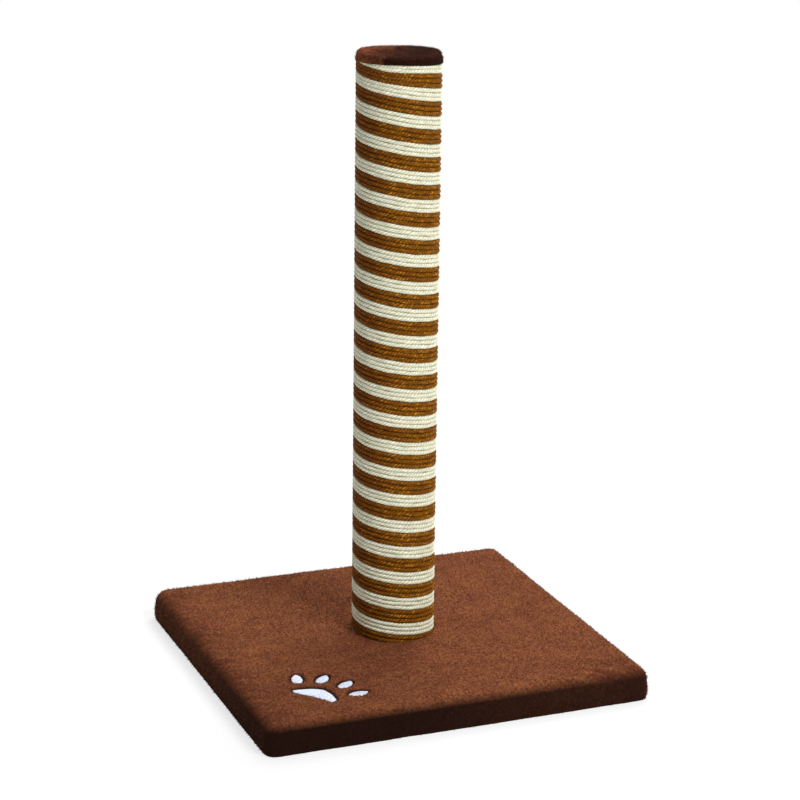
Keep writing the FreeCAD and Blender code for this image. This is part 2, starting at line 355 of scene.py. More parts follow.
distance = from_axis(x, y)
flatter = ROPE_DEPTH / size["Width"]
pressed = (ROPE_MIDDLE + (distance - ROPE_MIDDLE) * flatter) / distance
twine = nodes.moved(twine, nodes.together(x * pressed, y * pressed, z))
close_tree(nodes, twine, size)

# %% [markdown]
# Sisal is a dry, hairy leaf fibre. Fine streaks run with the plies, and the colour shifts
# slowly over the post. The hollows between the plies and the rope's edges, where it meets
# the next rope, are painted darker as painted shade, and painted highlights lie as bright
# dashes on the crests. The cream rope is undyed and the brown rope is dyed, so one recipe
# makes both; the brown rope's left side is also painted darker and redder as painted shade.

# %% Finish: sisal
CREAM_WIDTH, BROWN_WIDTH = 4.32 * MM, 4.77 * MM


def sisal(name, crest, hollow_shade, patch_and_shade, painted_highlight, width, rough, shine, uneven):
    """Rope fibre from colours of crests, shaded hollows, patches and painted highlights.
    Uneven says how much painted shade in the patches' colour the post's left side gets."""
    material, nodes = finish(name, Roughness=rough, Specular_IOR_Level=shine)
    along, level = nodes.attribute("rope_along"), nodes.attribute("rope_level")
    x, y, z = nodes.apart(nodes.place())
    rise, outward, half = z - level, from_axis(x, y), width * 0.52

    def streaks(upwards, outwards, lengthways, *detail):
        """Noise that follows the twist, with its scales up, out and along the rope."""
        spot = nodes.together(rise * upwards, outward * outwards, along * lengthways)
        return nodes.noise(spot, 1.0, *detail)

    fibre = streaks(3400.0, 3400.0, 170.0, 3.0, 0.65)
    strand = streaks(900.0, 500.0, 140.0)
    highlight_dash = streaks(620.0, 300.0, 230.0, 2.0, 0.6)
    slow = nodes.noise(nodes.place(), 26.0)
    across = nodes.attribute("rope_across", "Vector")
    # Painted shade: the plies' hollows take the darker colour and their crests the lighter one.
    crown = (nodes.vector("LENGTH", across, output="Value") / half).rising(0.80, 6.0)
    # Painted shade towards the rope's upper and lower edges, where it meets the next rope.
    rope_edge_shade = (rise.unsigned() / half).rising(0.62, 3.0)
    colour = nodes.blend(0.45 + crown * 0.55, hollow_shade, crest)
    colour = nodes.blend(slow.rising(0.45, 2.2) * 0.5, colour, patch_and_shade)
    colour = nodes.blend(fibre.rising(0.5, 4.0) * 0.55, colour, hollow_shade)
    colour = nodes.blend(strand.rising(0.48, 6.0) * (0.35 + rope_edge_shade * 0.45), colour, hollow_shade)
    # Painted highlights: bright dashes on the crests, kept away from the rope's edges.
    colour = nodes.blend(highlight_dash.rising(0.52, 6.0) * crown * (1.0 - rope_edge_shade), colour, painted_highlight)
    # Painted shade: the left side of the post takes the darker, redder colour, as far as uneven
    # allows.
    leftward_shading = (rightward(x, y) / (-42 * MM) * 0.8).clamped()
    colour = nodes.blend(leftward_shading.at_most(uneven), colour, patch_and_shade)
    nodes.paint(colour, fibre * 0.5 + strand * 0.5, 0.5 * MM, 0.9)
    return material


cream_sisal = sisal("cream sisal", crest=(234, 233, 208), hollow_shade=(142, 140, 110),
                    patch_and_shade=(218, 212, 180), painted_highlight=(246, 246, 228), width=CREAM_WIDTH,
                    rough=0.55, shine=0.2, uneven=0.0)
brown_sisal = sisal("brown sisal", crest=(130, 79, 9), hollow_shade=(42, 18, 5),
                    patch_and_shade=(88, 38, 13), painted_highlight=(194, 130, 34), width=BROWN_WIDTH,
                    rough=0.6, shine=0.05, uneven=0.46)

# %% [markdown]
# The six ropes lie in a band that climbs 27 mm each turn, to the left as it rises. The line
# where cream meets brown crosses the front at a known height, which places all six. The
# winding leans a little more towards the top, as hand winding does, and settles under the
# cap. Both ends are cut level: one stands in the plush and the other is under the cap.

# %% Winding: the six ropes
MEETING = 40.4 * MM
SPARE_TOP = 14 * MM
POINTS_PER_LAY = 10
OVERLAP = 1.04


def trim_level(piece, low, high):
    """Cuts a piece off below and above two heights and closes the cuts."""
    mesh = bmesh.new()
    mesh.from_mesh(piece.data)
    for height, side in ((low, -1), (high, 1)):
        cut = bmesh.ops.bisect_plane(
            mesh, geom=mesh.verts[:] + mesh.edges[:] + mesh.faces[:], dist=1e-7,
            plane_co=(0, 0, height), plane_no=(0, 0, side), clear_outer=True)
        rim = [item for item in cut["geom_cut"] if isinstance(item, bmesh.types.BMEdge)]
        bmesh.ops.holes_fill(mesh, edges=rim, sides=0)
    bmesh.ops.triangulate(mesh, faces=[face for face in mesh.faces if len(face.verts) > 4])
    mesh.to_mesh(piece.data)
    mesh.free()


def wind(name, middle, width, groove, material, seed):
    """One rope whose middle stands at a height where the camera's side of the post is."""
    below = (middle - (seat_height - width)) / LEAD
    above = (post_top + width + SPARE_TOP - middle) / LEAD
    turns = below + above
    length = turns * math.hypot(2 * math.pi * ROPE_MIDDLE, LEAD)
    rope = grow(name, rope_tree, {
        "Points": int(length / LAY * POINTS_PER_LAY),
        "Start Angle": FACE_ANGLE + below * 2 * math.pi,
        "Start Height": middle - below * LEAD, "Turns": turns, "Width": width * OVERLAP,
        "Groove": groove, "Seed": seed, "Material": material})
    trim_level(rope, seat_height, post_top)
    print(f"{name}: {turns:.1f} turns, {length:.2f} m of rope")
    return rope


rope_pieces = []
for colour, side, width, groove, material, seed in (
        ("cream", 1, CREAM_WIDTH, 0.20, cream_sisal, 10.0),
        ("brown", -1, BROWN_WIDTH, 0.28, brown_sisal, 20.0)):
    for index in range(3):
        node = f"{colour}_rope_{index + 1}"
        rope = wind(node + "_twine", MEETING + side * (index + 0.5) * width, width, groove,
                    material, 3.0 * index + seed)
        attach(rope, "root")
        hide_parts(node)
        rope_pieces.append(rope)

# %% [markdown]
# ## Plush cover of the base
#
# One piece of short-pile plush is pulled over the board and stapled underneath. A cloth
# simulation would only slide on the board, because the cover is held tight on all sides, so
# its skin is built from rings: across the top, round the edge, down the wall and back under
# the lip, where each staple presses it in. A noise relief gives it the soft, uneven
# thickness of pile.

# %% Skins made of rings
def ring_skin(name, rings, poles=False):
    """A closed skin through rings of equally many points. With poles, both end rings close
    on a point each; without, the last ring joins the first."""
    count = len(rings[0])
    vertices = np.concatenate(rings)
    faces = []
    pairs = len(rings) - 1 if poles else len(rings)
    for ring in range(pairs):
        here, there = ring * count, (ring + 1) % len(rings) * count
        faces += [(here + i, here + (i + 1) % count, there + (i + 1) % count, there + i)
                  for i in range(count)]
    mesh = bpy.data.meshes.new(name)
    if poles:
        for start, ring in ((0, rings[0]), ((len(rings) - 1) * count, rings[-1])):
            vertices = np.vstack([vertices, ring.mean(axis=0)])
            faces += [(start + i, start + (i + 1) % count, len(vertices) - 1)
                      for i in range(count)]
    mesh.from_pydata(vertices.tolist(), [], faces)
    shell = bmesh.new()
    shell.from_mesh(mesh)
    bmesh.ops.recalc_face_normals(shell, faces=shell.faces)
    shell.to_mesh(mesh)
    shell.free()
    return mesh


def store(mesh, name, values):
    """Keeps one number for each point of a mesh under a name."""
    numbers = mesh.attributes.new(name, "FLOAT", "POINT").data
    numbers.foreach_set("value", np.asarray(values, float))

# %% Rings of the base cover
PILE = 0.7 * MM
CORNER, LEAST_CORNER = 12 * MM, 3 * MM
EDGE_ROUND = 15 * MM
FLOOR_ROUND = 1.5 * MM
WALL_BULGE = 0.8 * MM
LIP_REACH = 38 * MM
WRAP = 0.1 * MM
STEP = 2.1 * MM
EDGE_RINGS, WALL_RINGS, FLOOR_RINGS, LIP_RINGS = 12, 8, 5, 8
HOLE, HOLE_RIM = 37 * MM, 41 * MM
DIP, DIP_REACH = 0.3 * MM, 5 * MM
STAPLE_DEPTH, STAPLE_LENGTH = 1.6 * MM, 15 * MM
CROWN_STEPS = (-1.9, -1.1, -0.5, 0.5, 1.1, 1.9)
skin_half = np.array(cover_half) - PILE
skin_top = cover_top - PILE
rope_reach = ROPE_MIDDLE + ROPE_DEPTH / 2


def outline_marks():
    """Unit places on the core rectangle and outward directions, once round the base."""
    core = skin_half - CORNER
    places, outwards = [], []
    for quarter in range(4):
        run = core[1] if quarter % 2 == 0 else core[0]
        cosine, sine = math.cos(quarter * math.pi / 2), math.sin(quarter * math.pi / 2)
        spin = np.array([[cosine, -sine], [sine, cosine]])
        straight = round(2 * run / STEP)
        bend = round(CORNER * math.pi / 2 / STEP)
        for index in range(straight):
            places.append(spin @ (1, 2 * index / straight - 1))
            outwards.append(spin @ (1, 0))
        for index in range(bend):
            turn = index / bend * math.pi / 2
            places.append(spin @ (1, 1))
            outwards.append(spin @ (math.cos(turn), math.sin(turn)))
    return np.array(places), np.array(outwards)


mark_places, mark_outwards = outline_marks()


def level_ring(inset, height):
    """The base's outline at an inset from its walls, at a height."""
    radius = max(CORNER - max(inset, 0), LEAST_CORNER)
    flat = mark_places * (skin_half - inset - radius) + mark_outwards * radius
    return np.column_stack([flat, np.full(len(flat), height)])


def post_ring(radius, height):
    """A circle round the post whose points lie on lines to the outline's points."""
    edge = level_ring(EDGE_ROUND, height)
    reach = np.linalg.norm(edge[:, :2], axis=1, keepdims=True)
    return np.column_stack([edge[:, :2] / reach * radius, edge[:, 2]])


def staple_crowns():
    """The low and high corners, seen from above, of each staple's crown under the lip."""
    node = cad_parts["cover_staples"]
    places = np.array([node.matrix_world @ vertex.co for vertex in node.data.vertices])
    groups = []
    for place in places[places[:, 2] < lip_height / 2][:, :2]:
        near = [group for group in groups if np.linalg.norm(group[0] - place) < STAPLE_LENGTH]
        near[0].append(place) if near else groups.append([place])
    return [(np.min(group, axis=0), np.max(group, axis=0)) for group in groups]


crowns = staple_crowns()
crown_inset = skin_half[1] + min(low[1] + high[1] for low, high in crowns) / 2
print(f"{len(crowns)} staples, {crown_inset / MM:.1f} mm in, lip {lip_height / MM:.2f} mm high")


def pressed_in(ring):
    """How much a ring's points are pressed in by the staples, from 0 to 1."""
    share = np.zeros(len(ring))
    for low, high in crowns:
        away = np.maximum(np.maximum(low - ring[:, :2], ring[:, :2] - high), 0)
        share = np.maximum(share, np.clip(1.6 - np.linalg.norm(away, axis=1) / MM, 0, 1))
    return share


def bends(count):
    """The angles of a quarter turn, in even steps after its start."""
    return np.linspace(0, math.pi / 2, count)[1:]


rings = [post_ring(HOLE, seat_height - 0.2 * MM), post_ring(HOLE_RIM, seat_height - 0.1 * MM)]
near, far = post_ring(rope_reach + 0.6 * MM, skin_top), level_ring(EDGE_ROUND, skin_top)
top_rings = round((skin_half[0] - EDGE_ROUND - rope_reach) / STEP)
for share in np.linspace(0, 1, top_rings):
    ring = near + (far - near) * share ** 1.1
    gap = np.linalg.norm(ring[:, :2], axis=1) - rope_reach
    ring[:, 2] -= DIP * np.exp(-gap / DIP_REACH)
    rings.append(ring)
for bend in bends(EDGE_RINGS):
    rings.append(level_ring(EDGE_ROUND * (1 - math.sin(bend)),
                            skin_top - EDGE_ROUND * (1 - math.cos(bend))))
for drop in np.linspace(0, 1, WALL_RINGS)[1:]:
    height = (skin_top - EDGE_ROUND) * (1 - drop) + FLOOR_ROUND * drop
    rings.append(level_ring(-WALL_BULGE * math.sin(math.pi * drop), height))
for bend in bends(FLOOR_RINGS):
    rings.append(level_ring(FLOOR_ROUND * (1 - math.cos(bend)),
                            FLOOR_ROUND * (1 - math.sin(bend))))
lip_insets = list(np.linspace(FLOOR_ROUND, LIP_REACH, LIP_RINGS)[1:])
lip_insets += [crown_inset + step * MM for step in CROWN_STEPS]
pressed = [np.zeros(len(mark_places))] * len(rings)
for inset in sorted(lip_insets):
    ring = level_ring(inset, 0.0)
    pressed.append(pressed_in(ring))
    ring[:, 2] += STAPLE_DEPTH * pressed[-1]
    rings.append(ring)
outside_rings = len(rings)
board_inset = skin_half[0] - board_half[0] - WRAP
rings += [level_ring(LIP_REACH, lip_height - WRAP), level_ring(board_inset, lip_height - WRAP),
          level_ring(board_inset, board_top + WRAP), post_ring(HOLE, board_top + WRAP)]
cover_mesh = ring_skin("base_cover", rings)
is_outside = np.repeat(np.arange(len(rings)) < outside_rings, len(mark_places)).astype(float)
is_outside[:outside_rings * len(mark_places)] -= np.concatenate(pressed)
print(f"base cover: {len(rings)} rings of {len(mark_places)} points")

# %% [markdown]
# The paw print is satin stitch: threads laid side by side from edge to edge over each pad.
# One tree makes any pad. It spaces threads along the pad and works out from the pad's front
# and back edges how long each one is.

# %% Tree: satin stitches over a pad
THREAD, THREAD_RISE = 0.5 * MM, 0.9 * MM
THREAD_SIDES, THREAD_BENDS = 6, 9

stitch_tree, nodes, size = growing_tree("satin pad", Int=["Threads", "Seed"], Float=[
    "Length", "Front", "Back", "Waist", "Droop", "Point", "Skew", "Taper", "Blunt"])
points = nodes.add("GeometryNodeMeshToPoints", inputs={0: nodes.row(size["Threads"])})
place = (nodes.add("GeometryNodeInputIndex") + 0.5) / size["Threads"] * 2.0 - 1.0
near_end = place.at_most(0.0)
point = size["Point"] * (1.0 + near_end * size["Blunt"])
swell = (1.0 - place * place) ** point * (1.0 - place * size["Skew"])
behind = size["Back"] * (1.0 - size["Waist"] * swell * swell)
ahead = size["Front"] * (1.0 + near_end * size["Taper"])
middle = (ahead - behind) * 0.5 * swell - size["Droop"] * place * place
half = (ahead + behind) * 0.5 * swell
points = nodes.moved(points, nodes.together(middle, place * size["Length"] * 0.5, 0.0))
uneven = nodes.random(0.94, 1.05, size["Seed"])
line = nodes.add("GeometryNodeCurvePrimitiveLine", inputs={
    "Start": (-1.0, 0.0, 0.0), "End": (1.0, 0.0, 0.0)})
line = nodes.add("GeometryNodeResampleCurve", inputs={0: line, "Count": THREAD_BENDS})
x, y, z = nodes.apart(nodes.position())
arch = 1.0 - (x * x) * (x * x)
line = nodes.moved(line, nodes.together(x, 0.0, arch * THREAD_RISE))
thread = nodes.sweep(line, nodes.circle(THREAD_SIDES, THREAD * 0.56))
laid = nodes.add("GeometryNodeInstanceOnPoints", inputs={
    0: points, "Instance": thread, "Scale": nodes.together(half * uneven, 1.0, 1.0)})
close_tree(nodes, laid, size)

# %% Finish: embroidery thread
paw_thread, nodes = finish(
    "paw thread", Specular_IOR_Level=0.6, Sheen_Weight=0.1, Sheen_Roughness=0.3)
twist = nodes.noise(nodes.place(), 1400.0)
shade = nodes.noise(nodes.place(), 420.0)
colour = nodes.blend(shade.rising(0.38, 3.5), (198, 210, 238), (242, 245, 252))
nodes.paint(colour, twist, 0.12 * MM, 0.7, rough=0.35 + twist * 0.3)

# %% [markdown]
# The paw is a generic one: four oval toes fanned over a bent heel pad, in the front left
# corner with its toes towards the post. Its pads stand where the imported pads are.

# %% Stitching the paw print
PAW_PLACE = Vector((-129.4 * MM, -135.0 * MM, 0))
PAW_TURN = math.radians(40.5)
PAD_DEPTH = 1.8 * MM
TOE_LENGTH, TOE_HALF = 19.5, 5.3
# For each toe: reach and side from the paw's middle in mm, turn in degrees, and point.
TOES = [(20.5, 35.4, 37.0, 0.45), (20.5, -32.4, -37.0, 0.75), (32.3, 14.1, 6.0, 0.5),
        (32.3, -11.3, -6.0, 0.55)]


def stitch_pad(name, turn, seed, length, front, back, move, **form):
    """A pad in the paw's own frame, turned and then moved. Threads are set side by side
    across its length. Length, front, back and move are in mm."""
    sizes = {"Threads": round(length / THREAD * MM), "Length": length * MM,
             "Front": front * MM, "Back": back * MM, "Seed": seed, "Material": paw_thread}
    pad = grow(name, stitch_tree, sizes | {label.title(): form[label] for label in form})
    pad.data.transform(Matrix.Rotation(turn, 4, "Z"))
    pad.data.transform(Matrix.Translation((move[0] * MM, move[1] * MM, 0)))
    return pad


def set_in_plush(pads, name):
    """Joins pads into one piece, turned and moved to the paw's place on the plush."""
    joined = bmesh.new()
    for pad in pads:
        joined.from_mesh(pad.data)
        bpy.data.objects.remove(pad)
    mesh = bpy.data.meshes.new(name)
    joined.to_mesh(mesh)
    joined.free()
    mesh.materials.append(paw_thread)
    mesh.transform(Matrix.Translation(PAW_PLACE + Vector((0, 0, cover_top - PAD_DEPTH)))
                   @ Matrix.Rotation(PAW_TURN, 4, "Z"))
    mesh.shade_smooth()
    piece = new_object(name, mesh)
    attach(piece, "root")
    return piece


toes = [stitch_pad(f"toe_{number}", math.radians(turn) - math.pi / 2, number, TOE_LENGTH,
                   TOE_HALF, TOE_HALF, (reach, side), point=point)
        for number, (reach, side, turn, point) in enumerate(TOES)]
toe_stitches = set_in_plush(toes, "paw_toe_stitches")
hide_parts("paw_toe_stitching")
heel = stitch_pad("heel", 0.0, 9, 47.0, 11.6, 8.6, (0, 1.3), waist=0.24, droop=5.6 * MM,
                  point=0.68, skew=0.12, taper=0.5, blunt=0.42)
heel_stitches = set_in_plush([heel], "paw_heel_stitches")
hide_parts("paw_heel_stitching")

# %% [markdown]
# Around the stitches the pile is pulled down, which leaves a groove round each pad; the plush
# material paints it dark as painted shade. The relief tree measures the distance to the
# stitches and sinks the skin there. Elsewhere it lifts and lowers the skin with three sizes
# of noise.

# %% Tree: relief of a plush skin
# The pile leans over the pads from their near side, so the groove shows on the far side.
PULL = (0.82 * MM, 2.04 * MM, 0.0)
GROOVE_START, GROOVE_WIDTH, GROOVE_DEPTH = 1.3 * MM, 1.8 * MM, 2.4 * MM
WAVE_SCALE, CLUMP_SCALE, FINE_SCALE = 22.0, 170.0, 420.0

relief_tree, nodes, size = growing_tree("plush relief", Float=["Waves", "Clumps"])


def distance_to_pads(nodes):
    """Distance to the stitches from a point, moved to where its pile roots are."""
    place = nodes.vector("SUBTRACT", nodes.position(), PULL)
    first, second = (nodes.add("GeometryNodeProximity", {"target_element": "FACES"}, {
        0: nodes.mesh_of(stitches), "Sample Position": place}, output="Distance")
        for stitches in (toe_stitches, heel_stitches))
    return first.at_most(second)


def above_floor(nodes, geometry):
    """Geometry whose points are lifted to the floor where they are below it."""
    x, y, z = nodes.apart(nodes.position())
    return nodes.moved(geometry, nodes.together(x, y, z.at_least(0.0)))


sunk = (1.0 - (distance_to_pads(nodes) - GROOVE_START) / GROOVE_WIDTH).clamped()
place = nodes.position()
waves = (nodes.noise(place, WAVE_SCALE, 1.0) - 0.5) * size["Waves"]
clumps = (nodes.noise(place, CLUMP_SCALE) - 0.5) * size["Clumps"]
fine = (nodes.noise(place, FINE_SCALE) - 0.5) * (size["Clumps"] * 0.6)
lift = (waves + clumps + fine) * nodes.carried("outside") - sunk * GROOVE_DEPTH
skin = nodes.moved(size, nodes.scaled(nodes.add("GeometryNodeInputNormal"), lift), "Offset")
# The sunk share is kept for the plush material's painted shade in the groove.
skin = nodes.marked(above_floor(nodes, skin), "sunk", sunk)
close_tree(nodes, skin, size)

# %% [markdown]
# Plush is thousands of short fibres in tufts. Where they stand up one looks at their lit
# tips, and on the walls, where they hang down, one looks past them into their shaded roots.
# The material paints that shade in: it goes from a warm lit brown on top to a deep, shaded
# brown on the walls, darker still in the groove round the pads. Small spikes, scattered over
# the skin, make the fuzz that an edge of plush shows. Base and cap get theirs from the same
# function.

# %% Finish: plush
def plush(name, lit, shaded, root, sheen, wall, edge=None):
    """Pile colour, with painted shade. Wall and edge are given a point's place: wall says how
    much painted shade of the dark roots lies there, and edge how much darker it is painted."""
    material, nodes = finish(name, Roughness=0.95, Specular_IOR_Level=0.03, Sheen_Weight=sheen,
                             Sheen_Roughness=0.6, Sheen_Tint=srgb(*lit[0]))
    place = nodes.place()
    x, y, z = nodes.apart(place)
    blotch = nodes.noise(place, 38.0, 3.0, 0.6)
    speck = nodes.noise(place, 380.0, 3.0, 0.75)
    drift = nodes.noise(place, 75.0, 3.0, 0.7)
    grain = nodes.noise(place, 1100.0, 2.0, 0.6)
    tip, tone, sunk = (nodes.attribute(label) for label in ("tip", "tone", "sunk"))
    nap_and_shade = 0.44 + (blotch - 0.5) * 0.7 + (speck - 0.5) * 2.8 + tip * (tone * 1.7 - 0.6)
    if edge:
        nap_and_shade = nap_and_shade - edge(nodes, x, y)
    bright = nodes.blend(drift.rising(0.35, 2.5), *lit)
    colour = nodes.blend(nap_and_shade.clamped(), shaded, bright)
    colour = nodes.blend((wall(nodes, x, y, z) - (speck - 0.5) * 0.1).clamped(), colour, root)
    # Painted shade in the groove round the pads, on the skin and the tufts' lower parts.
    colour = nodes.blend((sunk * 1.6).clamped() * (0.9 - tip * 0.9), colour, root)
    nodes.paint(colour, speck * 0.6 + grain * 0.4, 0.6 * MM, 0.6)
    return material


half_width, half_depth = (float(half) for half in skin_half)


def base_wall_shading(nodes, x, y, z):
    """Painted shade: 0 on the top of the base and nearly 1 down its walls, darkest by the front
    left corner.
    """
    from_left, from_front = x + half_width, y + half_depth
    # Painted light lifts the walls' shade away from the front left corner.
    left = (1.2 - from_left / (10 * MM)).clamped()
    painted_wall_light = (left * from_front.rising(50 * MM, 5.0) * 0.36
              + (1.0 - left) * from_left.rising(160 * MM, 6.0) * 0.10)
    return ((skin_top - 1.5 * MM - z) / (8 * MM)).clamped() * (1.0 - painted_wall_light)


def base_edge_shade(nodes, x, y):
    """Painted shade on the top: darker in streaks along the left edge, where the plush is
    gathered over it, and towards the front right corner.
    """
    gather = nodes.noise(nodes.together(x * 30.0, y * 110.0 + x * 60.0, 0.0), 1.0, 3.0, 0.6)
    gather = ((gather - 0.5) * 3.2 + 0.5).clamped()
    left = (1.0 - (x + half_width) / (36 * MM)).clamped()
    from_right, from_front = half_width - x, y + half_depth
    away = (from_right * from_right + from_front * from_front * 4.0).root()
    corner = (1.0 - away / (120 * MM)).clamped()
    return left * (0.04 + gather * 0.6) + corner * gather * 0.9


def cap_shading(nodes, x, y, z):
    """Painted shade over the cap, deepest down its side, with painted light on its left side."""
    ragged = nodes.noise(nodes.place(), 60.0) - 0.5
    leftward_shading = backward(x, y) / cap_radius * 0.35 + 0.12 - rightward(x, y) / cap_radius
    painted_left_light = ((leftward_shading + ragged * 1.6) * 1.3).clamped()
    # Painted shade is deepest down the cap's side.
    side = ((cap_top - 2.5 * MM - z) / (2.5 * MM)).clamped()
    return 0.89 + side * 0.08 - painted_left_light * 0.80


base_plush = plush("base plush", lit=((140, 83, 57), (142, 90, 52)), shaded=(82, 43, 28),
                   root=(25, 12, 9), sheen=0.25, wall=base_wall_shading, edge=base_edge_shade)
cap_plush = plush("cap plush", lit=((158, 90, 60), (160, 98, 56)), shaded=(80, 37, 26),
                  root=(22, 10, 8), sheen=0.05, wall=cap_shading)

# %% Tree: tufts of pile on a skin
BARE_ROUND_PADS = 2.0 * MM
COMB_SCALE, COMB_STRENGTH = 30.0, 1.6

pile_tree, nodes, size = growing_tree("pile", Int=["Seed"], Float=[
    "Density", "Length", "Thickness", "Floor Gap", "Post Gap"])
x, y, z = nodes.apart(nodes.position())
clear = (nodes.carried("outside").above(0.5) * z.above(size["Floor Gap"])
         * from_axis(x, y).above(size["Post Gap"]))
scatter = nodes.scattered(size, size["Density"] * clear, size["Seed"])
away = distance_to_pads(nodes).above(BARE_ROUND_PADS)
comb = nodes.vector("SUBTRACT", nodes.noise(nodes.position(), COMB_SCALE)["Color"],
                    (0.5, 0.5, 0.62))
loose = nodes.add("FunctionNodeRandomValue", {"data_type": "FLOAT_VECTOR"}, {
    0: (-0.8, -0.8, -0.3), 1: (0.8, 0.8, 0.3), "Seed": size["Seed"]})
lean = nodes.vector("ADD", nodes.scaled(comb, COMB_STRENGTH), loose)
turned = nodes.facing(nodes.vector("ADD", lean, scatter["Normal"]))
grown_size = nodes.random(0.6, 1.15, size["Seed"] + 5.0)
tuft = nodes.add("GeometryNodeMeshCone", {"fill_type": "NGON"}, {
    "Vertices": 3, "Side Segments": 1, "Radius Top": 0.0,
    "Radius Bottom": size["Thickness"], "Depth": size["Length"]})
_, _, up = nodes.apart(nodes.position())
tuft = nodes.marked(tuft, "tip", up / size["Length"])
tufts = nodes.add("GeometryNodeInstanceOnPoints", inputs={
    0: scatter, "Selection": away, "Instance": tuft, "Rotation": turned, "Scale": grown_size})
tone = nodes.random(0.0, 1.0, size["Seed"] + 9.0)
tufts = nodes.marked(tufts, "tone", tone, domain="INSTANCE")
tufts = nodes.add("GeometryNodeRealizeInstances", inputs={0: tufts})
close_tree(nodes, above_floor(nodes, tufts), size)

# %% Base cover: skin and pile
def plush_cover(part, mesh, outside, plush, waves, clumps, pile):
    """The skin of a part's cover, made from a mesh of rings, and the pile on it."""
    store(mesh, "outside", outside)
    cover = grow(part + "_cover", relief_tree, {
        "Waves": waves, "Clumps": clumps, "Material": plush}, mesh)
    tufts = grow(part + "_pile", pile_tree, {**pile, "Material": plush}, cover.data)
    for piece in (cover, tufts):
        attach(piece, "root")
    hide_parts(part + "_plush_cover")
    return cover


base_cover = plush_cover("base", cover_mesh, is_outside, base_plush, 1.3 * MM, 0.55 * MM, {
    "Density": 235000.0, "Length": 2.2 * MM, "Thickness": 0.28 * MM, "Floor Gap": 0.8 * MM,
    "Post Gap": rope_reach + 0.3 * MM, "Seed": 4})

# %% [markdown]
# ## Plush cap
#
# A round of the same plush covers a thin wooden disc, with its margin folded under. The
# same ring skin makes it, closed at the middle on both sides, and its pile is shorter,
# because it is stretched over the rim.

# %% Cap: the skin and its pile
CAP_ROUND = 4.0 * MM
CAP_LIP = 25 * MM
CAP_POINTS, CAP_TOP_RINGS, CAP_EDGE_RINGS = 168, 22, 9
CAP_CROWN, CAP_PUFF = 0.5 * MM, 1.7 * MM
CAP_MIDDLE = 1.5 * MM
disc_low, disc_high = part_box("cap_disc")
cap_edge, cap_skin_top = cap_radius - PILE, cap_top - PILE


def cap_ring(radius, height):
    turn = np.linspace(0, 2 * math.pi, CAP_POINTS, endpoint=False)
    return np.column_stack([radius * np.cos(turn), radius * np.sin(turn),
                            np.full(CAP_POINTS, height)])


def to_left(ring):
    """1 at the left of the post as the camera sees it, -1 at its right."""
    return np.sin(np.arctan2(ring[:, 1], ring[:, 0]) - FACE_ANGLE)


def puff(ring):
    """Raises a ring of the top towards its left and right, where the plush bulges."""
    share = np.linalg.norm(ring[:, :2], axis=1) / cap_edge
    ring[:, 2] += CAP_PUFF * np.abs(to_left(ring)) ** 1.3 * share ** 3
    return ring


cap_rings = [cap_ring(radius, cap_skin_top + CAP_CROWN * (1 - (radius / cap_edge) ** 2))
             for radius in np.linspace(CAP_MIDDLE, cap_edge - CAP_ROUND, CAP_TOP_RINGS)]
cap_rings += [cap_ring(cap_edge - CAP_ROUND * (1 - math.sin(bend)),
                       cap_skin_top - CAP_ROUND * (1 - math.cos(bend)))
              for bend in bends(CAP_EDGE_RINGS)]
cap_rings = [puff(ring) for ring in cap_rings]
cap_outside = len(cap_rings)
hem = cap_ring(rope_reach + 0.5 * MM, post_top - 0.1 * MM)
swing = to_left(hem)
droop = np.where(swing > 0, 2.8, 0.9) * np.abs(swing) ** 1.5
hem[:, 2] -= droop * MM
cap_rings += [cap_ring(rope_reach + 0.4 * MM, post_top + 0.5 * MM), hem, hem * (0.994, 0.994, 1)]
cap_rings += [cap_ring(radius, post_top + 0.05 * MM) for radius in (39 * MM, 34 * MM, CAP_LIP)]
disc_rim = disc_high.x + WRAP
cap_rings += [cap_ring(radius, height) for radius, height in (
    (CAP_LIP, disc_low.z - WRAP), (disc_rim, disc_low.z - WRAP), (disc_rim, disc_high.z + WRAP),
    (CAP_MIDDLE, disc_high.z + WRAP))]
cap_mesh = ring_skin("cap_cover", cap_rings, poles=True)
cap_is_outside = np.repeat(np.arange(len(cap_rings)) < cap_outside, CAP_POINTS).astype(float)
cap_is_outside = np.append(cap_is_outside, (1.0, 0.0))
cap_cover = plush_cover("cap", cap_mesh, cap_is_outside, cap_plush, 1.0 * MM, 0.5 * MM, {
    "Density": 700000.0, "Length": 1.7 * MM, "Thickness": 0.22 * MM,
    "Floor Gap": post_top + 1.4 * MM, "Post Gap": 0.0, "Seed": 8})
cap_cut = 2 * (cap_radius + (cap_top - post_top) + (disc_high.x - CAP_LIP) - 3 * MM)
math.pi * (cap_cut / 2) ** 2
print(f"cap cut: {cap_cut:.3f} m across")

# %% [markdown]
# ## Hard pieces
#
# The board, plugs, tube and steel parts keep their solids. Most of them are hidden, but the
# underside shows raw chipboard inside the folded lip, the staples, and the bolt's head and
# washer in their counterbore. Each gets the detail of its real stuff.

# %% Finish: chipboard
chipboard, nodes = finish("chipboard", Roughness=0.8, Specular_IOR_Level=0.25)
place = nodes.place()
chips = nodes.add("ShaderNodeTexVoronoi", inputs={
    "Vector": nodes.vector("MULTIPLY", place, (1.0, 0.6, 2.2)), "Scale": 330.0},
    output="Color")
tone = nodes.apart(chips)[0]
dust = nodes.noise(place, 700.0, 3.0)
colour = nodes.blend(tone / 0.35, (128, 96, 62), (176, 142, 100))
colour = nodes.blend(tone.rising(0.35, 1 / 0.4), colour, (204, 174, 130))
colour = nodes.blend(tone.rising(0.75, 1 / 0.25), colour, (226, 203, 164))
colour = nodes.blend(dust * 0.35, colour, (150, 118, 82))
nodes.paint(colour, tone * 0.5 + dust * 0.5, 0.3 * MM, 0.6)

